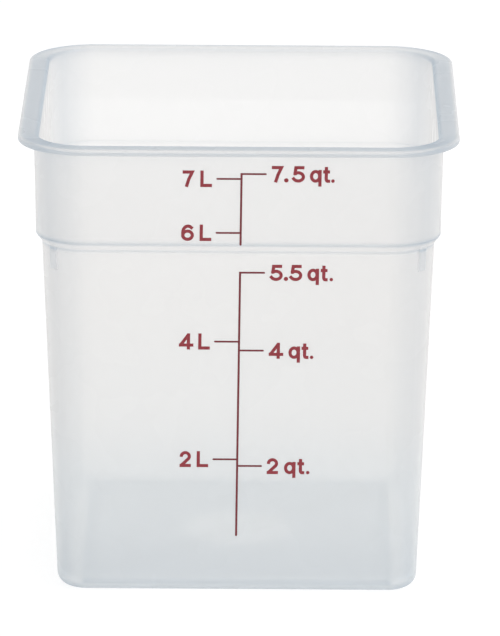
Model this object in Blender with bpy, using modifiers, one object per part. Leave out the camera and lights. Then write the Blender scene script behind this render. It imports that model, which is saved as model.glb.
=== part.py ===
"""A square food storage tub, open at the top, with a printed measuring scale on its front wall.

The tub is one injection moulding in milky polypropylene. It has a wide flanged rim, an upper band,
a shoulder on which the tub above rests in a stack, a drafted body and a raised floor. The scale is
a film of dark red ink: two ruled lines with ticks, and the numerals and units beside them.
Units are metres, +Z is up, the front faces -Y, and the origin is the middle of the base.
"""

import math

import bpy
import bmesh
from mathutils import Matrix, Vector
from mathutils.geometry import delaunay_2d_cdt

# Tub, overall
tub_width = 0.2156
tub_height = 0.2310
wall = 0.0023
rim_corner = 0.0336
least_corner = 0.0030

# Rim
rim_overhang = 0.0078
lip_height = 0.0031
lip_round = 0.0011
lip_foot_round = 0.0006
mouth_round = 0.0018
under_rim_round = 0.0012

# Upper band and shoulder
band_height = 0.0497
band_draft = math.radians(1.07)
shoulder_step = 0.0030
shoulder_drop = 0.0040
shoulder_round = 0.0012

# Body, foot and floor
body_draft = math.radians(2.32)
base_round = 0.0065
foot_ring_width = 0.0080
foot_height = 0.0020
floor_thickness = 0.0028
floor_round = 0.0055
gate_recess_radius = 0.0290
gate_recess_depth = 0.0008
gate_recess_slope = 0.0006

# Lugs at the corners, under the shoulder
lug_width = 0.0044
lug_length = 0.0128
lug_proud = 0.0013
lug_sink = 0.0012
lug_round = 0.0007

# Print
film_gap = 0.0003
film_thickness = 0.00015
line_width = 0.00105
tick_width = 0.0009
tick_length = 0.0122
litre_label_gap = 0.01425
quart_label_gap = 0.0146
cap_height = 0.0083
pen_width = 0.0016
print_offset = 0.00056
print_lean = math.radians(0.59)

# Smoothness
corner_steps = 10
round_steps = 4
glyph_step = math.radians(18)
weld_distance = 0.00001

# Heights of the marks. Each is where the tub holds that much, up to the printed line.
# In the band they are shares of its outer face's height, on the body shares of the body's.
band_mark_shares = (("7_litre", 0.723), ("6_litre", 0.137), ("7_5_quart", 0.777))
body_mark_shares = (
    ("5_5_quart", 0.940),
    ("4_litre", 0.7395),
    ("4_quart", 0.714),
    ("2_litre", 0.3948),
    ("2_quart", 0.3756),
)
band_line_foot_share = 0
body_line_foot_share = 0.168

# Each label's characters, with the space before each as a share of the cap height.
label_shares = {
    "7_litre": (("seven", 0), ("l", 0.38)),
    "6_litre": (("six", 0), ("l", 0.33)),
    "4_litre": (("four", 0), ("l", 0.28)),
    "2_litre": (("two", 0), ("l", 0.34)),
    "7_5_quart": (
        ("seven", 0), ("point", 0.07), ("five", 0.21), ("q", 0.28), ("t", 0.08), ("stop", 0.06)
    ),
    "5_5_quart": (
        ("five", 0), ("point", 0.06), ("five", 0.08), ("q", 0.29), ("t", 0.09), ("stop", 0.11)
    ),
    "4_quart": (("four", 0), ("q", 0.30), ("t", 0.08), ("stop", 0.08)),
    "2_quart": (("two", 0), ("q", 0.35), ("t", 0.10), ("stop", 0.10)),
}

# Characters. Each has a width, as a share of the cap height, and strokes. A stroke is the middle
# line of the pen in a unit square, whose sides are the middle lines of the outermost strokes. It
# is a list of points and arcs, and an arc is its centre, its two radii and its start and end in
# degrees. A stroke marked square reaches half a pen past its ends, a blunt one ends on them, and a
# ring is closed.
glyph_shares = {
    "seven": (0.66, [("square", [(0, 1), (1, 1), (0.58, 0.46), (0.34, 0)])]),
    "l": (0.69, [("square", [(0, 1), (0, 0), (1, 0)])]),
    "four": (
        0.86,
        [
            ("square", [(0.70, 0), (0.70, 1)]),
            ("square", [(0, 0.22), (1, 0.22)]),
            ("blunt", [(0.04, 0.26), (0.68, 1)]),
        ],
    ),
    "two": (
        0.67,
        [
            ("blunt", [(0, 0.67), (0.5, 0.71, 0.5, 0.29, 165, -38), (0.06, 0.04)]),
            ("square", [(0, 0), (1, 0)]),
        ],
    ),
    "five": (
        0.75,
        [
            ("square", [(0.92, 1), (0.20, 1), (0.12, 0.56)]),
            ("square", [(0.46, 0.31, 0.54, 0.31, 125, -152)]),
        ],
    ),
    "six": (
        0.75,
        [
            ("ring", [(0.5, 0.31, 0.5, 0.31, 0, 360)]),
            ("square", [(0.54, 0.52, 0.54, 0.48, 50, 180), (0, 0.31)]),
        ],
    ),
    "q": (
        0.69,
        [
            ("ring", [(0.48, 0.36, 0.48, 0.36, 0, 360)]),
            ("square", [(1, -0.29), (1, 0.72)]),
        ],
    ),
    "t": (
        0.42,
        [
            ("square", [(0.40, 0.95), (0.75, 0.18, 0.35, 0.18, 180, 270), (1, 0)]),
            ("square", [(0, 0.70), (0.92, 0.70)]),
        ],
    ),
}
dot_shares = {"point": 0.26, "stop": 0.21}

# What follows from the sizes above
rim_half = tub_width / 2
corner_centre = rim_half - rim_corner
band_head_half = rim_half - rim_overhang
mouth_half = band_head_half - wall
lip_z = tub_height - lip_height
shoulder_top_z = tub_height - band_height
shoulder_foot_z = shoulder_top_z - shoulder_drop
band_face_height = lip_z - shoulder_top_z
band_foot_half = band_head_half - band_face_height * math.tan(band_draft)
body_head_half = band_foot_half - shoulder_step
base_half = body_head_half - shoulder_foot_z * math.tan(body_draft)
floor_z = foot_height + floor_thickness
foot_inner_half = base_half - base_round - foot_ring_width


def clear_scene():
    """Remove what the scene holds."""
    for item in list(bpy.data.objects):
        bpy.data.objects.remove(item, do_unlink=True)


def new_collection(name):
    """A collection in the scene."""
    made = bpy.data.collections.new(name)
    bpy.context.scene.collection.children.link(made)
    return made


def plain_material(name, colour, roughness):
    """A Principled material in one linear colour, for what isn't a metal."""
    material = bpy.data.materials.new(name)
    material.use_nodes = True
    shader = material.node_tree.nodes["Principled BSDF"]
    shader.inputs["Base Color"].default_value = (*colour, 1.0)
    shader.inputs["Roughness"].default_value = roughness
    shader.inputs["Metallic"].default_value = 0
    return material


def object_from(name, points, faces, material, collection):
    """A mesh object from points and faces."""
    mesh = bpy.data.meshes.new(name)
    mesh.from_pydata([tuple(point) for point in points], [], faces)
    mesh.validate()
    made = bpy.data.objects.new(name, mesh)
    made.data.materials.append(material)
    collection.objects.link(made)
    return made


def on_band(height):
    """Half the tub's outer width on the band's face."""
    return band_foot_half + (height - shoulder_top_z) * math.tan(band_draft)


def on_body(height):
    """Half the tub's outer width on the body's face."""
    return base_half + height * math.tan(body_draft)


def inset_corner(before, corner, after, distance):
    """The corner of an outline after both its sides move left of the path by the distance."""
    into = (corner - before).normalized()
    out = (after - corner).normalized()
    normal_in = Vector((-into.y, into.x))
    normal_out = Vector((-out.y, out.x))
    middle = (normal_in + normal_out).normalized()
    return corner + middle * (distance / middle.dot(normal_in))


def rounded_path(corners):
    """A path through (point, radius) corners, where each corner with a radius becomes an arc."""
    path = []
    last = len(corners) - 1
    for index, (point, radius) in enumerate(corners):
        if radius == 0 or index in (0, last):
            path.append(point)
            continue
        into = (point - corners[index - 1][0]).normalized()
        out = (corners[index + 1][0] - point).normalized()
        turn = into.angle(out)
        start = point - into * radius * math.tan(turn / 2)
        side = 1 if into.cross(out) > 0 else -1
        centre = start + Vector((-into.y, into.x)) * radius * side
        for step in range(round_steps + 1):
            swing = Matrix.Rotation(side * turn * step / round_steps, 2)
            path.append(centre + swing @ (start - centre))
    return path


def tub_profile():
    """The tub's section from the foot's inner edge, up outside, over the rim and down to the floor.

    Each point is a half width and a height.
    """
    foot_step = Vector((foot_inner_half + foot_height, 0))
    base = Vector((base_half, 0))
    body_head = Vector((body_head_half, shoulder_foot_z))
    band_foot = Vector((band_foot_half, shoulder_top_z))
    band_head = Vector((band_head_half, lip_z))
    mouth = Vector((mouth_half, tub_height))
    inner_band_foot = inset_corner(body_head, band_foot, band_head, wall)
    inner_body_head = inset_corner(base, body_head, band_foot, wall)
    inner_base_half = base_half + floor_z * math.tan(body_draft) - wall / math.cos(body_draft)
    return rounded_path(
        [
            (Vector((foot_inner_half, foot_height)), 0),
            (foot_step, 0),
            (base, base_round),
            (body_head, shoulder_round),
            (band_foot, shoulder_round),
            (band_head, under_rim_round),
            (Vector((rim_half, lip_z)), lip_foot_round),
            (Vector((rim_half, tub_height)), lip_round),
            (mouth, mouth_round),
            (inner_band_foot, shoulder_round),
            (inner_body_head, shoulder_round),
            (Vector((inner_base_half, floor_z)), floor_round),
            (Vector((foot_inner_half, floor_z)), 0),
        ]
    )


def square_ring(half, height):
    """A rounded square at one height. Every corner arc turns about the same upright line."""
    corner = max(half - corner_centre, least_corner)
    ring = []
    for quarter in range(4):
        turn = math.pi / 2 * quarter
        for step in range(corner_steps + 1):
            angle = -math.pi / 2 + math.pi / 2 * step / corner_steps
            x = half - corner + corner * math.cos(angle)
            y = -(half - corner) + corner * math.sin(angle)
            ring.append(Matrix.Rotation(turn, 3, "Z") @ Vector((x, y, height)))
    return ring


def round_ring(radius, height):
    """A circle at one height, with as many points as a rounded square."""
    count = 4 * (corner_steps + 1)
    ring = []
    for index in range(count):
        angle = -math.pi / 4 + 2 * math.pi * (index - corner_steps / 2) / count
        ring.append(Vector((radius * math.cos(angle), radius * math.sin(angle), height)))
    return ring


def loft(rings):
    """Points and faces of a closed skin through the rings, with a flat cap at each end."""
    count = len(rings[0])
    points = [point for ring in rings for point in ring]
    faces = []
    for level in range(len(rings) - 1):
        for index in range(count):
            following = (index + 1) % count
            low, high = level * count, (level + 1) * count
            faces.append((low + index, low + following, high + following, high + index))
    faces.append(tuple(reversed(range(count))))
    faces.append(tuple(range((len(rings) - 1) * count, len(rings) * count)))
    return points, faces


def make_tub(material, collection, helpers):
    """The moulding, with a shallow round recess under its floor and a lug on each corner."""
    rings = [
        round_ring(gate_recess_radius - gate_recess_slope, foot_height + gate_recess_depth),
        round_ring(gate_recess_radius, foot_height),
    ]
    rings += [square_ring(half, height) for half, height in tub_profile()]
    rings.append(round_ring(gate_recess_radius, floor_z))
    points, faces = loft(rings)
    tub = object_from("tub", points, faces, material, collection)
    join = tub.modifiers.new("corner lugs", "BOOLEAN")
    join.operation = "UNION"
    join.object = make_lugs(helpers)
    return tub


def make_lugs(helpers):
    """One helper mesh with the four lugs, which lean with the wall on the corners' middles."""
    top_z = shoulder_top_z - shoulder_drop / 2
    middle_z = top_z - lug_length / 2
    depth = lug_proud + lug_sink
    corner_face = on_body(middle_z) - corner_centre
    to_corner = Matrix.Translation((corner_centre, corner_centre, 0))
    to_middle = Matrix.Rotation(math.pi / 4, 4, "Z")
    to_face = Matrix.Translation((corner_face + lug_proud - depth / 2, 0, middle_z))
    lean = Matrix.Rotation(body_draft, 4, "Y")
    lugs = bmesh.new()
    for quarter in range(4):
        turn = Matrix.Rotation(math.pi / 2 * quarter, 4, "Z")
        place = turn @ to_corner @ to_middle @ to_face @ lean
        corners = bmesh.ops.create_cube(lugs, size=1)["verts"]
        bmesh.ops.scale(lugs, vec=(depth, lug_width, lug_length), verts=corners)
        outer = {corner for corner in corners if corner.co.x > 0}
        edges = [edge for edge in lugs.edges if set(edge.verts) <= outer]
        rounded = bmesh.ops.bevel(
            lugs, geom=edges, offset=lug_round, segments=2, affect="EDGES", profile=0.5
        )
        moved = {vertex for face in rounded["faces"] for vertex in face.verts} | set(corners)
        bmesh.ops.transform(lugs, matrix=place, verts=[vertex for vertex in moved if vertex.is_valid])
    mesh = bpy.data.meshes.new("corner_lugs")
    lugs.to_mesh(mesh)
    lugs.free()
    helper = bpy.data.objects.new("corner_lugs", mesh)
    helper.hide_render = True
    helper.display_type = "WIRE"
    helpers.objects.link(helper)
    return helper


def arc(centre_x, centre_y, radius_x, radius_y, start, end):
    """Points on an ellipse from one angle in degrees to another."""
    span = math.radians(end - start)
    steps = max(2, math.ceil(abs(span) / glyph_step))
    angles = [math.radians(start) + span * step / steps for step in range(steps + 1)]
    return [(centre_x + radius_x * math.cos(a), centre_y + radius_y * math.sin(a)) for a in angles]


def middle_line(stroke, width, left, foot):
    """The points of a stroke of a character, at the character's size and place."""
    kind, entries = stroke
    shares = []
    for entry in entries:
        shares += [entry] if len(entry) == 2 else arc(*entry)
    if kind == "ring":
        shares.pop()
    inner_width = width - pen_width
    inner_height = cap_height - pen_width
    points = [
        Vector((left + pen_width / 2 + x * inner_width, foot + pen_width / 2 + y * inner_height))
        for x, y in shares
    ]
    if kind == "square":
        points[0] += (points[0] - points[1]).normalized() * pen_width / 2
        points[-1] += (points[-1] - points[-2]).normalized() * pen_width / 2
    return points


def ribbon(points, width, closed):
    """Quads of one width along a middle line, with mitred joints."""
    count = len(points)
    lefts, rights = [], []
    for index, point in enumerate(points):
        into = point - points[index - 1] if closed or index else points[1] - point
        out = points[(index + 1) % count] - point if closed or index < count - 1 else into
        normal_in = Vector((-into.y, into.x)).normalized()
        normal_out = Vector((-out.y, out.x)).normalized()
        middle = (normal_in + normal_out).normalized()
        reach = width / 2 / middle.dot(normal_in)
        lefts.append(point + middle * reach)
        rights.append(point - middle * reach)
    quads = []
    for index in range(count if closed else count - 1):
        following = (index + 1) % count
        quads.append([rights[index], rights[following], lefts[following], lefts[index]])
    return quads


def bar(start, end, width):
    """A straight stroke with a square start and a round end, as one polygon."""
    along = (end - start).normalized()
    across = Vector((-along.y, along.x)) * width / 2
    centre = end - along * width / 2
    steps = round(math.pi / glyph_step)
    tip = [
        centre - Matrix.Rotation(math.pi * step / steps, 2) @ across for step in range(steps + 1)
    ]
    return [start + across, start - across] + tip


def disc(centre, radius):
    """A round polygon."""
    return [centre + Vector(point) * radius for point in arc(0, 0, 1, 1, 0, 360)[:-1]]


def outline_sheet(polygons):
    """The union of flat polygons, as triangles."""
    points, rows = [], []
    for polygon in polygons:
        rows.append(list(range(len(points), len(points) + len(polygon))))
        points += polygon
    middle = sum(points, Vector((0, 0))) / len(points)
    unit = max((point - middle).length for point in points)
    scaled = [(point - middle) / unit for point in points]
    made = delaunay_2d_cdt(scaled, [], rows, 1, weld_distance / unit)
    faces = [face for face, origins in zip(made[2], made[5]) if origins]
    used = sorted({index for face in faces for index in face})
    place = {index: order for order, index in enumerate(used)}
    points = [made[0][index] * unit + middle for index in used]
    return points, [[place[index] for index in face] for face in faces]


def print_film(name, polygons, wall_half, material, collection):
    """A closed film of ink in front of the wall, from polygons in the print's own plane.

    The print stands a little off the middle, and its upright lines lean a little to the right
    while its rows stay level.
    """
    points, faces = outline_sheet(polygons)
    placed = []
    for point in points:
        lean = (point.y - tub_height / 2) * math.tan(print_lean)
        x = point.x + print_offset + lean
        placed.append(Vector((x, -wall_half(point.y) - film_gap, point.y)))
    film = object_from(name, placed, faces, material, collection)
    flat = bmesh.new()
    flat.from_mesh(film.data)
    bmesh.ops.remove_doubles(flat, verts=flat.verts, dist=weld_distance)
    bmesh.ops.dissolve_degenerate(flat, edges=flat.edges, dist=weld_distance)
    bmesh.ops.dissolve_limit(flat, angle_limit=print_lean, verts=flat.verts, edges=flat.edges)
    bmesh.ops.triangulate(flat, faces=flat.faces)
    bmesh.ops.recalc_face_normals(flat, faces=flat.faces)
    if sum(face.normal.y * face.calc_area() for face in flat.faces) > 0:
        bmesh.ops.reverse_faces(flat, faces=flat.faces)
    flat.to_mesh(film.data)
    flat.free()
    solid = film.modifiers.new("film", "SOLIDIFY")
    solid.thickness = film_thickness
    solid.offset = 1
    return film


def mark_heights():
    """Each mark's height above the base, and the wall that it is on."""
    heights = {}
    for mark, share in band_mark_shares:
        heights[mark] = (shoulder_top_z + share * band_face_height, on_band)
    for mark, share in body_mark_shares:
        heights[mark] = (share * shoulder_foot_z, on_body)
    return heights


def make_line(name, foot_z, mark_shares, heights, material, collection):
    """A ruled upright line that ends at its highest mark, with a tick at each mark."""
    marks = [mark for mark, _ in mark_shares]
    head_z = max(heights[mark][0] for mark in marks) + tick_width / 2
    polygons = [bar(Vector((0, head_z)), Vector((0, foot_z)), line_width)]
    for mark in marks:
        height, wall_half = heights[mark]
        side = -1 if mark.endswith("litre") else 1
        polygons.append(bar(Vector((0, height)), Vector((side * tick_length, height)), tick_width))
    return print_film(name, polygons, wall_half, material, collection)


def character_width(name):
    """A character's width."""
    if name in dot_shares:
        return dot_shares[name] * cap_height
    return glyph_shares[name][0] * cap_height


def character_polygons(name, left, foot):
    """The polygons of a character whose box starts at the left and stands on the foot."""
    width = character_width(name)
    if name in dot_shares:
        return [disc(Vector((left + width / 2, foot + width / 2)), width / 2)]
    polygons = []
    for stroke in glyph_shares[name][1]:
        points = middle_line(stroke, width, left, foot)
        polygons += ribbon(points, pen_width, closed=stroke[0] == "ring")
    return polygons


def make_label(mark, height, wall_half, material, collection):
    """The characters of a label, each a film of its own, centred on its tick's height."""
    characters = label_shares[mark]
    widths = [character_width(name) + gap_share * cap_height for name, gap_share in characters]
    left = -litre_label_gap - sum(widths) if mark.endswith("litre") else quart_label_gap
    foot = height - cap_height / 2
    for order, (name, gap_share) in enumerate(characters, 1):
        left += gap_share * cap_height
        polygons = character_polygons(name, left, foot)
        print_film(f"mark_{mark}_{order}_{name}", polygons, wall_half, material, collection)
        left += character_width(name)


def main():
    clear_scene()
    parts = new_collection("food_storage_tub")
    helpers = new_collection("helpers")
    plastic = plain_material("milky polypropylene", (0.80, 0.83, 0.84), 0.35)
    make_tub(plastic, parts, helpers)
    line_ink = plain_material("ruled line ink", (0.21, 0.045, 0.06), 0.5)
    heights = mark_heights()
    band_foot_z = shoulder_top_z + band_line_foot_share * band_face_height
    body_foot_z = body_line_foot_share * shoulder_foot_z
    make_line("scale_line_upper", band_foot_z, band_mark_shares, heights, line_ink, parts)
    make_line("scale_line_lower", body_foot_z, body_mark_shares, heights, line_ink, parts)
    for mark, (height, wall_half) in heights.items():
        ink = plain_material(f"ink of the {mark} label", (0.27, 0.055, 0.075), 0.5)
        make_label(mark, height, wall_half, ink, parts)


main()
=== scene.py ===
# %% [markdown]
# # A square storage tub in milky plastic
# The real tub is one injection moulding in natural polypropylene, with a measuring scale screen
# printed on its front wall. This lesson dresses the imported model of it. The moulding is made
# again as one fine skin, worked out with numpy, and the print is set down on that skin.
#
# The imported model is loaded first, because every size below is read from it or belongs to it.

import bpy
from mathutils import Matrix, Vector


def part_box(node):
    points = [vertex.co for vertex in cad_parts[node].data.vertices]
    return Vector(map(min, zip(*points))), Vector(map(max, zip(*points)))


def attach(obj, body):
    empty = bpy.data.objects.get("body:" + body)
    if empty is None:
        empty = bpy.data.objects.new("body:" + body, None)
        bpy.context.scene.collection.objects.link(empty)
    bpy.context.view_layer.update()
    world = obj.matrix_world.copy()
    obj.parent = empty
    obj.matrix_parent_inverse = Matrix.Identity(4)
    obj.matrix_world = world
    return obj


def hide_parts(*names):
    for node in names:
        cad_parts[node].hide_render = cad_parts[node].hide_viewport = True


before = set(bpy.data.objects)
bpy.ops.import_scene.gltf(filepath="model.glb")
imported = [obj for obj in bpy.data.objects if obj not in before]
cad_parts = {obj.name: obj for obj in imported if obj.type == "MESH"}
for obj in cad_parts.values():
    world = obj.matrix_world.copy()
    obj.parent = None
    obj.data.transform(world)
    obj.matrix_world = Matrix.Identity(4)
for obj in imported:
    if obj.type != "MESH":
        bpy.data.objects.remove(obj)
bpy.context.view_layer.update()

# %% Libraries
import math

import bmesh
import bpy
import numpy as np
from mathutils import Matrix, Vector

# %% [markdown]
# ## Sizes of the moulding
# The frame gives the width and the height. The other sizes are those of the drawing from which
# the solid was made, so the fine skin falls on the solid.

# %% Sizes of the moulding
_, tub_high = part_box("tub")
rim_half = tub_high.x
tub_height = tub_high.z
wall = 0.0023
rim_corner_radius = 0.0336
least_corner_radius = 0.0030
rim_overhang = 0.0078
lip_height = 0.0031
band_height = 0.0497
band_draft = math.radians(1.07)
shoulder_step = 0.0030
shoulder_drop = 0.0040
body_draft = math.radians(2.32)
foot_ring_width = 0.0080
foot_height = 0.0020
floor_thickness = 0.0028
recess_radius = 0.0290
recess_depth = 0.0008
recess_slope = 0.0006
base_round = 0.0065
edge_round = 0.0012

corner_centre = rim_half - rim_corner_radius
lip_z = tub_height - lip_height
shoulder_top_z = tub_height - band_height
shoulder_foot_z = shoulder_top_z - shoulder_drop
floor_z = foot_height + floor_thickness
band_head_half = rim_half - rim_overhang
band_foot_half = band_head_half - (lip_z - shoulder_top_z) * math.tan(band_draft)
body_head_half = band_foot_half - shoulder_step
base_half = body_head_half - shoulder_foot_z * math.tan(body_draft)
foot_inner_half = base_half - base_round - foot_ring_width
main_halves = (rim_half, band_foot_half, base_half)
print("half widths of rim, band foot and base:", [round(half, 4) for half in main_halves])

# %% [markdown]
# ## The section of the wall
# A mould maker draws a tub as one section: up the outside, over the rim and down the inside. Sharp
# corners come first, and each gets its radius afterwards. An arc at a corner swings about a centre
# that is one radius away from both sides, so all the arcs can be worked out together.

# %% Round the corners of a path
same_place = 1e-6


def unit(vectors):
    """Vectors divided by their lengths."""
    return vectors / np.linalg.norm(vectors, axis=-1, keepdims=True)


def rounded(corners, radii, steps):
    """A path with arcs at its corners.

    The arc starts one radius times the tangent of half the turn before the corner. Its centre is
    one radius to the side, and its points are that first point swung about the centre by equal
    parts of the turn. A corner with no radius keeps its one point.
    """
    before = unit(corners[1:-1] - corners[:-2])
    after = unit(corners[2:] - corners[1:-1])
    cross = before[:, 0] * after[:, 1] - before[:, 1] * after[:, 0]
    turn = np.arctan2(cross, (before * after).sum(1))
    start = corners[1:-1] - before * (radii * np.tan(np.abs(turn) / 2))[:, None]
    beside = np.stack([-before[:, 1], before[:, 0]], 1) * np.sign(turn)[:, None]
    centre = start + beside * radii[:, None]
    arm = (start - centre)[:, None, :]
    swing = turn[:, None] * np.linspace(0, 1, steps + 1)
    across = arm[..., 0] * np.cos(swing) - arm[..., 1] * np.sin(swing)
    upward = arm[..., 0] * np.sin(swing) + arm[..., 1] * np.cos(swing)
    arcs = centre[:, None, :] + np.stack([across, upward], -1)
    path = np.concatenate([corners[:1], arcs.reshape(-1, 2), corners[-1:]])
    apart = np.linalg.norm(np.diff(path, axis=0), axis=1) > same_place
    return path[np.concatenate([[True], apart])]


def divided(path, longest):
    """The path with points added on its straight runs, so that no step is over the longest.

    Each run is cut in as many equal parts as its length needs, and the points are read off by how
    many runs lie before them.
    """
    runs = np.linalg.norm(np.diff(path, axis=0), axis=1)
    parts = np.ceil(runs / longest).astype(int)
    run = np.repeat(np.arange(len(runs)), parts)
    first = np.repeat(np.cumsum(parts) - parts, parts)
    place = np.append(run + (np.arange(len(run)) - first) / parts[run], len(runs))
    order = np.arange(len(path))
    return np.stack([np.interp(place, order, path[:, axis]) for axis in (0, 1)], 1)


# %% Helpers for the section
def on_body(height):
    """Half the outer width of the body's drafted face at a height."""
    return base_half + height * math.tan(body_draft)


def inset(before, corner, after):
    """A corner of the outside, moved one wall inwards from both its sides."""
    into, out = unit(corner - before), unit(after - corner)
    middle = unit(np.array([-into[1] - out[1], into[0] + out[0]]))
    return corner + middle * wall / (middle @ np.array([-into[1], into[0]]))


# %% [markdown]
# ## The drawing
# The drawing is a list of corners. Each has its place, its radius, and two numbers for the looks
# that the next step explains: how much denser the plastic is painted there, mostly as painted
# shade or painted highlight, and how far that reaches.
# A corner with no_bell looks like the wall around it. The rows across the foot of a lug lie close
# together, because its edge is rounded. Once the arcs are in, the path is divided again, finely
# near a corner and coarsely elsewhere.

# %% The section of the tub
lug_top_z = shoulder_top_z - shoulder_drop / 2
lug_width, lug_length, lug_proud, lug_round = 0.0044, 0.0128, 0.0013, 0.0007
lug_foot_z = lug_top_z - lug_length
edge_shares = np.array([-0.15, 0, 0.12, 0.35, 0.65, 1])
lug_rows = [(on_body(z), z) for z in lug_foot_z + edge_shares * lug_round]
no_bell = (0, 0.001)

base = np.array([base_half, 0])
body_head = np.array([body_head_half, shoulder_foot_z])
band_foot = np.array([band_foot_half, shoulder_top_z])
band_head = np.array([band_head_half, lip_z])
inner_base_half = base_half + floor_z * math.tan(body_draft) - wall / math.cos(body_draft)

outside = [
    # Painted shade: positive shares darken the foot's corners, the base, the shoulder's two edges
    # and the underside of the lip.
    ((foot_inner_half, foot_height), 0.0004, 0.2, 0.003),
    ((foot_inner_half + foot_height, 0), 0.0006, 0.2, 0.003),
    (base, base_round, 0.75, 0.0055),
    *[(row, 0, *no_bell) for row in lug_rows],
    (body_head, edge_round, 0.50, 0.0009),
    (band_foot, edge_round, 0.65, 0.0014),
    (band_head, edge_round, 0.2, 0.0015),
]
rim_and_inside = [
    # Painted highlight: negative shares make the lip and the rim's outer edge paler. Painted
    # shade: the mouth's inner edge is darker.
    ((rim_half, lip_z), 0.0006, -0.35, 0.0018),
    ((rim_half, tub_height), 0.0011, -0.70, 0.0012),
    ((band_head_half - wall, tub_height), 0.0018, 0.55, 0.0015),
    (inset(body_head, band_foot, band_head), edge_round, *no_bell),
    (inset(base, body_head, band_foot), edge_round, *no_bell),
    # The inner corner of the floor is painted a little paler.
    ((inner_base_half, floor_z), 0.0055, -0.10, 0.003),
]
ends = [
    ((recess_radius, foot_height), 0, *no_bell),
    ((recess_radius, floor_z), 0, *no_bell),
]
drawing = [ends[0], *outside, *rim_and_inside, ends[1]]
corners = np.array([point for point, _, _, _ in drawing], float)
radii = np.array([radius for _, radius, _, _ in drawing[1:-1]])
arc_steps, long_step, short_step = 8, 0.006, 0.0013
section = divided(rounded(corners, radii, arc_steps), long_step)
middles = (section[1:] + section[:-1]) / 2
from_corner = np.linalg.norm(middles[:, None, :] - corners, axis=-1).min(1)
section = divided(section, np.where(from_corner < long_step, short_step, long_step))
print("points in the section:", len(section))

# %% [markdown]
# ## How thick the plastic looks, and painted light
# Natural polypropylene is milky: a thin wall lets light through, and thick plastic looks denser
# and a little blue. The rim is thick and looks denser all over. The floor does too, and there that
# also stands for painted shade beneath the tub. The third number at each corner of the drawing
# says how much denser the plastic is painted there, and the fourth how far from the corner that
# reaches. Most of these are painted light: painted shade at the foot and the base, along the
# shoulder's two edges, under the lip and along the mouth's inner edge, and a paler painted
# highlight along the rim's outer edge and the lip. Along the back of the tub the rim is painted
# pale, as light from behind, between two painted darker edges, and the shoulder's painted shade is
# fainter, so both have numbers of their own there.

# %% Density and painted light along the section
rim_density = 0.58
# The floor panel is thick; its denser look also stands for painted shade beneath the tub.
floor_density_and_painted_shade = 0.48
recess_density = 0.12
# Painted shade down the upright corners, more near their foot, and in the band's corners.
corner_painted_shade, corner_foot_painted_shade, corner_foot_z = 0.20, 0.22, 0.045
band_density, band_corner_painted_shade = 0.04, 0.07
lug_density = 0.25
shares = np.array([share for _, _, share, _ in drawing])
reaches = np.array([reach for _, _, _, reach in drawing])
# Painted light from behind: along the back the rim's land is painted pale, not denser.
back_rim_density_painted_pale = 0.0
floor_margin, rim_margin, land_depth, slack = 0.0030, 0.0010, 0.0018, 0.0001
shoulder_foot, shoulder_top = len(outside) - 2, len(outside) - 1
rim_edge = 1 + len(outside) + 1
mouth_edge = rim_edge + 1
# Along the back the rim's outer edge gets painted shade instead of a painted highlight, the
# mouth's edge a little less painted shade, and the shoulder's painted shade is fainter.
back_shares, back_reaches = shares.copy(), reaches.copy()
back_shares[[shoulder_foot, shoulder_top, rim_edge, mouth_edge]] = 0.25, 0.30, 0.80, 0.45
back_reaches[rim_edge] = 0.0028


def densities_with_painted_light(path, rim_share, floor_share, corner_shares, corner_reaches):
    """How much denser each point of a path looks, painted shade and painted highlights included,
    from 0 in a thin wall to 1.

    It is the share of the rim or floor that the point is in, and a bell curve at each corner,
    which mostly paints shade or a highlight: the corner's share times e to the power of minus the
    square of the distance over its reach.
    """
    out, up = path[:, 0], path[:, 1]
    floor = (out < foot_inner_half + floor_margin) & (up < floor_z + slack)
    rim = (out > band_head_half + rim_margin) & (up > lip_z - slack)
    land = (out > band_head_half - wall - slack) & (up > tub_height - land_depth)
    away = np.linalg.norm(path[:, None, :] - corners, axis=-1)
    bells = (corner_shares * np.exp(-(away / corner_reaches) ** 2)).sum(1)
    return np.clip(floor * floor_share + (rim | land) * rim_share + bells, 0, 1)


density_with_painted_light = densities_with_painted_light(section, rim_density, floor_density_and_painted_shade, shares, reaches)
back_density_with_painted_light = densities_with_painted_light(section, back_rim_density_painted_pale, floor_density_and_painted_shade, back_shares, back_reaches)
print("density, least and most:", density_with_painted_light.min().round(2), density_with_painted_light.max().round(2))
own = corners[[shoulder_foot, shoulder_top, rim_edge, mouth_edge]]
print("corners with shares of their own along the back:", own.round(4).tolist())

# %% [markdown]
# ## The skin of the moulding
# In plan the tub is a square with round corners at every height, and all its corner arcs turn
# about the same four upright lines. So a column of the skin is a fixed anchor and a fixed
# direction, and a row only says how far out it lies: place = anchor x centre + direction x radius.
# Four lugs keep a stack of tubs from jamming. Each is a pad pushed out of the corner.

# %% Columns of the skin
side_steps = 26
corner_steps = 26
corner_middle = math.pi / 4
half_lug_turn = lug_width / 2 / (on_body(lug_foot_z) - corner_centre)
edge_turns = (1 - edge_shares * lug_round / (lug_width / 2)) * half_lug_turn
quarter_turns = np.unique(np.concatenate([
    np.linspace(0, math.pi / 2, corner_steps + 1),
    corner_middle + edge_turns,
    corner_middle - edge_turns,
]))
side_places = np.linspace(-1, 1, side_steps + 1)[1:-1]
one_side = np.stack([np.ones_like(side_places), side_places], 1)
anchors = np.concatenate([one_side, np.ones((len(quarter_turns), 2))])
directions = np.concatenate([
    np.tile([1.0, 0.0], (len(side_places), 1)),
    np.stack([np.cos(quarter_turns), np.sin(quarter_turns)], 1),
])
lug_turns = np.concatenate([np.full(len(side_places), math.pi), quarter_turns - corner_middle])


def four_times(vectors):
    """Vectors repeated round the tub, each time turned by a quarter: x becomes -y, y becomes x."""
    quarter = np.array([[0, 1], [-1, 0]])
    return np.concatenate([vectors @ np.linalg.matrix_power(quarter, n) for n in range(4)])


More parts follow.
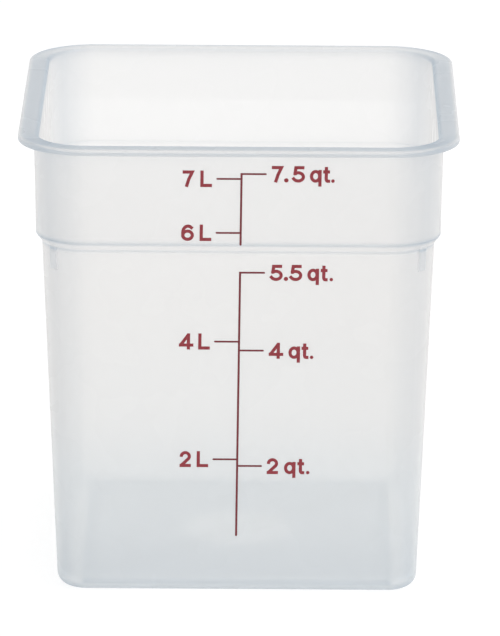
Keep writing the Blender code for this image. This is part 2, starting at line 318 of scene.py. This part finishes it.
anchors, directions = four_times(anchors), four_times(directions)
lug_turns = np.tile(lug_turns, 4)
print("columns round the tub:", len(anchors))


# %% Rows of the skin
def square_rows(halves):
    """Places in plan for rows of these half widths, by the rule above, one row of columns each."""
    centre = np.minimum(corner_centre, halves - least_corner_radius)[:, None, None]
    return anchors * centre + directions * (halves[:, None, None] - centre)


def round_rows(radii):
    """Circles with the same columns: each keeps the angle that it has on the foot's square."""
    square = square_rows(np.array([foot_inner_half]))
    return unit(square) * radii[:, None, None]


def pad(inward, edge):
    """The height of a round-edged pad, from how far a point lies inwards of its outline.

    It is the pad's full height less the sagitta of the edge's arc, and none outside.
    """
    short = np.clip(edge - inward, 0, edge)
    height = lug_proud - edge + np.sqrt(edge ** 2 - short ** 2)
    return np.where(inward < 0, 0, height)


def lug_heights(halves, heights):
    """How far the lugs stand out of the wall at every row and column.

    The pad's face keeps to the body's draft, so it dies out where the shoulder overtakes it.
    """
    across = lug_width / 2 - np.abs(lug_turns)[None, :] * (on_body(lug_foot_z) - corner_centre)
    upward = (heights - lug_foot_z)[:, None]
    face = pad(np.minimum(across, upward), lug_round)
    proud = face - (halves - on_body(heights))[:, None]
    below = (heights < shoulder_top_z)[:, None]
    return np.where(below & (face > 0), np.maximum(proud, 0), 0)


# %% [markdown]
# ## From rows and columns to a mesh
# The rows run from the middle of the underside, up the outside, over the rim and down to the
# middle of the floor. The two middles are single points, so the skin is closed.

# %% Make a closed skin
sharp_angle = math.radians(38)


def closed_skin(name, rows, first, last):
    """A mesh object through rows of points, closed by a fan to a point at each end.

    Every four neighbours in the grid make a face, and the last column is joined to the first.
    """
    count, columns = rows.shape[:2]
    points = np.concatenate([rows.reshape(-1, 3), [first, last]])
    number = np.arange(count * columns).reshape(count, columns)
    right = np.roll(number, -1, axis=1)
    quads = np.stack([number[:-1], right[:-1], right[1:], number[1:]], -1).reshape(-1, 4)
    low_fan = np.stack([right[0], number[0], np.full(columns, count * columns)], -1)
    high_fan = np.stack([number[-1], right[-1], np.full(columns, count * columns + 1)], -1)
    mesh = bpy.data.meshes.new(name)
    mesh.from_pydata(points.tolist(), [], quads.tolist() + low_fan.tolist() + high_fan.tolist())
    mesh.shade_smooth()
    mesh.set_sharp_from_angle(angle=sharp_angle)
    piece = bpy.data.objects.new(name, mesh)
    bpy.context.scene.collection.objects.link(piece)
    return piece


def point_values(piece, name, values):
    """Gives each point of a piece a number that its material can read."""
    layer = piece.data.attributes.new(name, "FLOAT", "POINT")
    layer.data.foreach_set("value", values.astype(np.float32))


# %% [markdown]
# ## The moulding
# The section's rows go round the tub with the lugs pushed out. Smaller rings close the middle of
# the underside and of the floor. Every point also gets how much denser it looks, painted light
# included, mixed from what the section says at the front and at the back, and raised at the lugs,
# the corners and the band. The raise at the upright corners is painted shade.

# %% The moulding
ring_shares = np.array([0.4, 0.8, 1.0])
back_spread = 1.5
halves, heights = section[:, 0], section[:, 1]
over_rim = int(np.argmax(heights > shoulder_top_z))
lugs = lug_heights(halves, heights)
lugs[over_rim:] = 0
plan = square_rows(halves) + directions * lugs[..., None]
plan[[0, -1]] = round_rows(halves[[0, -1]])
recess_z = foot_height + recess_depth
recess_plan = round_rows(ring_shares * (recess_radius - recess_slope))
floor_plan = round_rows(ring_shares[1::-1] * recess_radius)
all_plans = np.concatenate([recess_plan, plan, floor_plan])
all_heights = np.concatenate([
    np.full(len(recess_plan), recess_z), heights, np.full(len(floor_plan), floor_z)
])
row_heights = np.broadcast_to(all_heights[:, None, None], all_plans.shape[:2] + (1,))
rows = np.concatenate([all_plans, row_heights], -1)

tub = closed_skin("tub_moulding", rows, (0, 0, recess_z), (0, 0, floor_z))
at_back = np.clip(back_spread * directions[:, 1], 0, 1)
at_corner = np.clip(1 - np.abs(lug_turns) / corner_middle, 0, 1)
on_wall = (heights > base_round)[:, None]
on_band = (heights > shoulder_top_z)[:, None]
section_density_with_painted_light = density_with_painted_light[:, None] * (1 - at_back) + back_density_with_painted_light[:, None] * at_back
# The lugs look denser. The upright corners get painted shade, more near the foot, and the band is
# a little denser, with painted shade in its corners.
section_density_with_painted_light += lugs / lug_proud * lug_density + on_wall * at_corner * corner_painted_shade
section_density_with_painted_light += on_band * (band_density + at_corner * band_corner_painted_shade)
foot_share = np.clip(1 - heights / corner_foot_z, 0, 1) * (halves > foot_inner_half)
section_density_with_painted_light += foot_share[:, None] * at_corner * corner_foot_painted_shade
grid_density_with_painted_light = np.full(rows.shape[:2], recess_density)
grid_density_with_painted_light[len(recess_plan):-len(floor_plan)] = np.clip(section_density_with_painted_light, 0, 1)
point_values(tub, "milkiness_with_painted_light", np.append(grid_density_with_painted_light, np.full(2, recess_density)))
print("faces of the moulding:", len(tub.data.polygons))

# %% [markdown]
# ## Colours and nodes
# Colours are written as the hex values that a colour picker shows. Blender works with linear
# light, so one function turns them. A second small function adds a node with its settings and
# links, which keeps the materials short.

# %% Colour and node helpers
def from_hex(code):
    """A linear colour from an sRGB hex value: a channel c becomes ((c + 0.055) / 1.055) ** 2.4,
    or c / 12.92 where it is very dark."""
    channels = np.array([int(code[place:place + 2], 16) for place in (1, 3, 5)]) / 255
    linear = np.where(channels <= 0.04045, channels / 12.92, ((channels + 0.055) / 1.055) ** 2.4)
    return (*linear.tolist(), 1.0)


def add_node(tree, kind, inputs, **settings):
    """Adds a node. An input is a number, or the socket that is linked to it."""
    node = tree.nodes.new(kind)
    for name, value in settings.items():
        setattr(node, name, value)
    for name, value in inputs.items():
        if isinstance(value, bpy.types.NodeSocket):
            tree.links.new(value, node.inputs[name])
        else:
            node.inputs[name].default_value = value
    return node


def new_material(name):
    """An empty material, its node tree and its output node."""
    material = bpy.data.materials.new(name)
    material.use_nodes = True
    tree = material.node_tree
    tree.nodes.clear()
    return material, tree, add_node(tree, "ShaderNodeOutputMaterial", {})


# %% [markdown]
# ## Milky polypropylene
# Natural polypropylene is a semi-crystalline plastic, clear in a thin film and milky in a wall of
# two millimetres. Light that meets the wall is partly thrown back and partly spread out on the
# other side. The glow shares below divide it between the two. Seen square on, much of it also goes
# straight through a thin wall, and hardly any through a thick one: those are the clear shares. So
# an edge close behind the wall still shows. The mould's fine blasted finish gives a satin shine.
# Low down the plastic is painted denser, as painted shade near the foot, and the thin colour turns
# cooler towards the bottom.

# %% Milky polypropylene
# Painted shade near the foot: the plastic is painted denser towards the bottom. The thin colour
# also turns cooler low down.
painted_low_shade, painted_shade_top = 0.24, 0.052
cool_top, cool_all = 0.095, 0.055
glow_thin, glow_thick = 0.68, 0.63
clear_thin, clear_thick = 0.61, 0.02
flow_size, grain_size, grain_depth = 0.030, 0.0009, 0.00003
smoothest, roughest = 0.22, 0.32
slant_blend = 0.2


def milky_polypropylene():
    """Injection moulded natural polypropylene, satin outside.

    It looks white and open where it is thin, denser and cooler where it is thick. Its point values
    also carry painted shade and painted highlights. Near the foot it is painted denser as shade,
    and the thin plastic turns cooler towards the bottom.
    """
    material, tree, output = new_material("milky_polypropylene")
    place = add_node(tree, "ShaderNodeTexCoord", {}).outputs["Object"]
    dense_with_painted_light = add_node(tree, "ShaderNodeAttribute", {}, attribute_name="milkiness_with_painted_light").outputs["Fac"]
    height = add_node(tree, "ShaderNodeSeparateXYZ", {"Vector": place}).outputs["Z"]
    # Painted shade: denser towards the foot.
    low = add_node(
        tree,
        "ShaderNodeMapRange",
        {"Value": height, "From Min": painted_shade_top, "From Max": 0.0, "To Max": painted_low_shade},
        interpolation_type="SMOOTHSTEP",
    ).outputs["Result"]
    dense_with_painted_light = add_node(
        tree, "ShaderNodeMath", {0: dense_with_painted_light, 1: low}, operation="MAXIMUM"
    ).outputs[0]
    cool = add_node(
        tree,
        "ShaderNodeMapRange",
        {"Value": height, "From Min": cool_top, "From Max": cool_all},
        interpolation_type="SMOOTHSTEP",
    ).outputs["Result"]
    thin = add_node(
        tree,
        "ShaderNodeMix",
        {"Factor": cool, 6: from_hex("#FAF9F8"), 7: from_hex("#F8F9F9")},
        data_type="RGBA",
    ).outputs[2]
    colour = add_node(
        tree,
        "ShaderNodeMix",
        {"Factor": dense_with_painted_light, 6: thin, 7: from_hex("#C9D3DC")},
        data_type="RGBA",
    ).outputs[2]
    flow = add_node(
        tree, "ShaderNodeTexNoise", {"Vector": place, "Scale": 1 / flow_size, "Detail": 2.0}
    ).outputs["Fac"]
    grain = add_node(
        tree, "ShaderNodeTexNoise", {"Vector": place, "Scale": 1 / grain_size, "Detail": 3.0}
    ).outputs["Fac"]
    bump = add_node(
        tree, "ShaderNodeBump", {"Height": grain, "Strength": 0.25, "Distance": grain_depth}
    ).outputs["Normal"]
    roughness = add_node(
        tree, "ShaderNodeMapRange", {"Value": flow, "To Min": smoothest, "To Max": roughest}
    ).outputs["Result"]
    face = add_node(
        tree,
        "ShaderNodeBsdfPrincipled",
        {"Base Color": colour, "Roughness": roughness, "IOR": 1.49, "Normal": bump},
    ).outputs["BSDF"]
    glow = add_node(tree, "ShaderNodeBsdfTranslucent", {"Color": colour}).outputs["BSDF"]
    glow_share = add_node(
        tree, "ShaderNodeMapRange", {"Value": dense_with_painted_light, "To Min": glow_thin, "To Max": glow_thick}
    ).outputs["Result"]
    milk = add_node(
        tree, "ShaderNodeMixShader", {"Fac": glow_share, 1: face, 2: glow}
    ).outputs["Shader"]
    clear = add_node(
        tree, "ShaderNodeBsdfTransparent", {"Color": from_hex("#FFFFFF")}
    ).outputs["BSDF"]
    slant = add_node(tree, "ShaderNodeLayerWeight", {"Blend": slant_blend}).outputs["Facing"]
    open_share = add_node(
        tree, "ShaderNodeMapRange", {"Value": dense_with_painted_light, "To Min": clear_thin, "To Max": clear_thick}
    ).outputs["Result"]
    square_on = add_node(
        tree, "ShaderNodeMapRange", {"Value": slant, "To Min": 1.0, "To Max": 0.0}
    ).outputs["Result"]
    open_share = add_node(
        tree, "ShaderNodeMath", {0: open_share, 1: square_on}, operation="MULTIPLY"
    ).outputs[0]
    shell = add_node(tree, "ShaderNodeMixShader", {"Fac": open_share, 1: milk, 2: clear})
    tree.links.new(shell.outputs["Shader"], output.inputs["Surface"])
    return material


tub.data.materials.append(milky_polypropylene())
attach(tub, "root")
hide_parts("tub")
print("tub_moulding stands for the packed tub")

# %% [markdown]
# ## The printed scale
# The scale is screen printed in one dark red ink, so it is a film that lies on the wall. The
# packed films stand off the wall by a small gap, because solids may not touch. A copy of each is
# merged, moved in and left a hair off the wall. The characters of a mark become one piece. The
# ruled lines look darker than the characters, so they have an ink colour of their own.

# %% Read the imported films
film_gap = 0.0003
hair = 0.00003


def film_copy(name, nodes):
    """One piece from copies of packed films, merged, and moved towards the wall along y."""
    film = bmesh.new()
    for node in nodes:
        film.from_mesh(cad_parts[node].data)
    bmesh.ops.remove_doubles(film, verts=film.verts, dist=same_place)
    bmesh.ops.translate(film, verts=film.verts, vec=(0, film_gap - hair, 0))
    mesh = bpy.data.meshes.new(name)
    film.to_mesh(mesh)
    film.free()
    piece = bpy.data.objects.new(name, mesh)
    bpy.context.scene.collection.objects.link(piece)
    return piece


# %% Screen ink
blotch_size, blotch_depth = 0.0016, 0.00002
blotch_starts, blotch_ends = 0.35, 0.7


def screen_ink(name, colour_code, thin_code):
    """Solvent screen ink on plastic, laid down through a mesh.

    It is nearly flat in tone, a little thinner in small blotches, with a soft shine.
    """
    material, tree, output = new_material(name)
    place = add_node(tree, "ShaderNodeTexCoord", {}).outputs["Object"]
    blotch = add_node(
        tree, "ShaderNodeTexNoise", {"Vector": place, "Scale": 1 / blotch_size, "Detail": 4.0}
    ).outputs["Fac"]
    cover = add_node(
        tree,
        "ShaderNodeMapRange",
        {"Value": blotch, "From Min": blotch_starts, "From Max": blotch_ends},
    ).outputs["Result"]
    colour = add_node(
        tree,
        "ShaderNodeMix",
        {"Factor": cover, 6: from_hex(colour_code), 7: from_hex(thin_code)},
        data_type="RGBA",
    ).outputs[2]
    bump = add_node(
        tree, "ShaderNodeBump", {"Height": blotch, "Strength": 0.3, "Distance": blotch_depth}
    ).outputs["Normal"]
    ink = add_node(
        tree,
        "ShaderNodeBsdfPrincipled",
        {"Base Color": colour, "Roughness": 0.42, "IOR": 1.5, "Normal": bump},
    )
    tree.links.new(ink.outputs["BSDF"], output.inputs["Surface"])
    return material


label_ink = screen_ink("screen_ink_dark_red", "#8F2630", "#9B3640")
line_ink = screen_ink("screen_ink_fine_lines", "#701C25", "#7B2A33")

# %% Set the print on the wall
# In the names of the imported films 7_5 stands for 7.5.
marks = [f"{volume}_litre" for volume in ("7", "6", "4", "2")]
marks += [f"{volume}_quart" for volume in ("7_5", "5_5", "4", "2")]
prints = {f"print_{mark}": (f"mark_{mark}_", label_ink, "label_ink") for mark in marks}
prints["print_line_upper"] = ("scale_line_upper", line_ink, "line_ink")
prints["print_line_lower"] = ("scale_line_lower", line_ink, "line_ink")
for name, (prefix, ink, slot) in prints.items():
    nodes = sorted(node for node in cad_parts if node.startswith(prefix))
    piece = film_copy(name, nodes)
    piece.data.materials.append(ink)
    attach(piece, "root")
    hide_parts(*nodes)
    print(name, "is made from", len(nodes), "packed films")

# %% [markdown]
# ## Floor and light
# The tub stands on a plain pale floor in a white room, which is a little brighter on the right
# and in front, and darker above. A small lamp overhead draws the shine along the rim's edge. A
# broad low lamp behind the tub makes its milky walls glow. The floor and the room look white to
# the camera, and the floor keeps the tub's soft shadow.

# %% Floor and room
shadow_share, lift_share = 0.3, 0.80
room_slope, room_level = (0.38, -0.18, -0.46), 1.09
floor_reach, floor_gap = 4.0, 0.0001


def seen_directly(tree):
    """A socket that is 1 for rays from the camera, a mirror or glass, and 0 for light."""
    path = add_node(tree, "ShaderNodeLightPath", {}).outputs
    mirrored = add_node(
        tree,
        "ShaderNodeMath",
        {0: path["Is Camera Ray"], 1: path["Is Glossy Ray"]},
        operation="MAXIMUM",
    ).outputs[0]
    return add_node(
        tree,
        "ShaderNodeMath",
        {0: mirrored, 1: path["Is Transmission Ray"]},
        operation="MAXIMUM",
    ).outputs[0]


def pale_floor():
    """Painted board. To the camera a light of its own lifts it to white, less the shadow."""
    material, tree, output = new_material("pale_floor")
    board = add_node(tree, "ShaderNodeBsdfDiffuse", {"Color": from_hex("#F3F3F3")}).outputs[0]
    grey = (shadow_share, shadow_share, shadow_share, 1)
    shadow = add_node(tree, "ShaderNodeBsdfDiffuse", {"Color": grey}).outputs[0]
    lift = add_node(tree, "ShaderNodeEmission", {"Strength": lift_share}).outputs[0]
    white = add_node(tree, "ShaderNodeAddShader", {0: shadow, 1: lift}).outputs[0]
    shown = add_node(tree, "ShaderNodeMixShader", {"Fac": seen_directly(tree), 1: board, 2: white})
    tree.links.new(shown.outputs[0], output.inputs["Surface"])
    return material


floor_sides = [(-1, -1), (1, -1), (1, 1), (-1, 1)]
floor_points = [(x * floor_reach, y * floor_reach, -floor_gap) for x, y in floor_sides]
floor_mesh = bpy.data.meshes.new("floor")
floor_mesh.from_pydata(floor_points, [], [(0, 1, 2, 3)])
floor = bpy.data.objects.new("floor", floor_mesh)
floor.data.materials.append(pale_floor())
bpy.context.scene.collection.objects.link(floor)

room = bpy.data.worlds.new("white_room")
room.use_nodes = True
bpy.context.scene.world = room
background = room.node_tree.nodes["Background"]
direction = add_node(room.node_tree, "ShaderNodeTexCoord", {}).outputs["Generated"]
slope = add_node(
    room.node_tree,
    "ShaderNodeVectorMath",
    {0: direction, 1: room_slope},
    operation="DOT_PRODUCT",
).outputs["Value"]
tone = add_node(
    room.node_tree, "ShaderNodeMath", {0: slope, 1: room_level}, operation="ADD"
).outputs[0]
strength = add_node(
    room.node_tree,
    "ShaderNodeMix",
    {"Factor": seen_directly(room.node_tree), "A": tone, "B": 1.0},
)
room.node_tree.links.new(strength.outputs["Result"], background.inputs["Strength"])
background.inputs["Color"].default_value = (1, 1, 1, 1)
steepness = Vector(room_slope).length
print("light of the room, least:", round(room_level - steepness, 2))
print("light of the room, most:", round(room_level + steepness, 2))


# %% Lamps
def soft_lamp(name, place, size, watts):
    """A square area lamp that faces the middle of the tub and isn't seen itself."""
    light = bpy.data.lights.new(name, "AREA")
    light.size = size
    light.energy = watts
    lamp = bpy.data.objects.new(name, light)
    lamp.location = place
    aim = Vector((0, 0, tub_height / 2)) - Vector(place)
    lamp.rotation_euler = aim.to_track_quat("-Z", "Y").to_euler()
    lamp.visible_camera = False
    bpy.context.scene.collection.objects.link(lamp)
    print(name, "gives", watts, "watts from", round(aim.length, 2), "m away")


soft_lamp("overhead_lamp", place=(0.0, -0.1, 1.3), size=0.25, watts=0.90)
soft_lamp("back_lamp", place=(0.0, 0.9, 0.12), size=0.6, watts=0.70)

# %% [markdown]
# ## Camera
# The photograph was taken from a few metres away with a long lens, a little above the tub. Those
# numbers were fitted to the tub's corners. The aim point isn't in the middle of the picture, so
# the camera stands beside that line of sight and keeps its direction.

# %% Camera
photo_width, photo_height = 500, 636
focal_pixels = 6440
camera_distance = 3.246
camera_elevation = math.radians(16.23)
camera_turn = math.radians(0.23)
camera_roll = math.radians(0.30)
aim_point = Vector((0, 0, 0.1145))
aim_pixel = Vector((238.79, 320.36))

turn = Matrix.Rotation(camera_turn, 3, "Z")
back = turn @ Vector((0, -math.cos(camera_elevation), math.sin(camera_elevation)))
right = turn @ Vector((1, 0, 0))
up = back.cross(right)
offset = aim_pixel - Vector((photo_width, photo_height)) / 2
offset_right = offset.x * math.cos(camera_roll) + offset.y * math.sin(camera_roll)
offset_down = offset.y * math.cos(camera_roll) - offset.x * math.sin(camera_roll)
place = aim_point + back * camera_distance
place += (up * offset_down - right * offset_right) * camera_distance / focal_pixels

lens = bpy.data.cameras.new("camera")
lens.sensor_width = 36
lens.lens = focal_pixels / photo_height * lens.sensor_width
lens.clip_end = 20
camera = bpy.data.objects.new("camera", lens)
axes = Matrix((right, up, back)).transposed() @ Matrix.Rotation(camera_roll, 3, "Z")
camera.matrix_world = Matrix.Translation(place) @ axes.to_4x4()
bpy.context.scene.collection.objects.link(camera)
bpy.context.scene.camera = camera
bpy.context.scene.view_settings.view_transform = "Standard"
print("lens in mm:", round(lens.lens, 1))
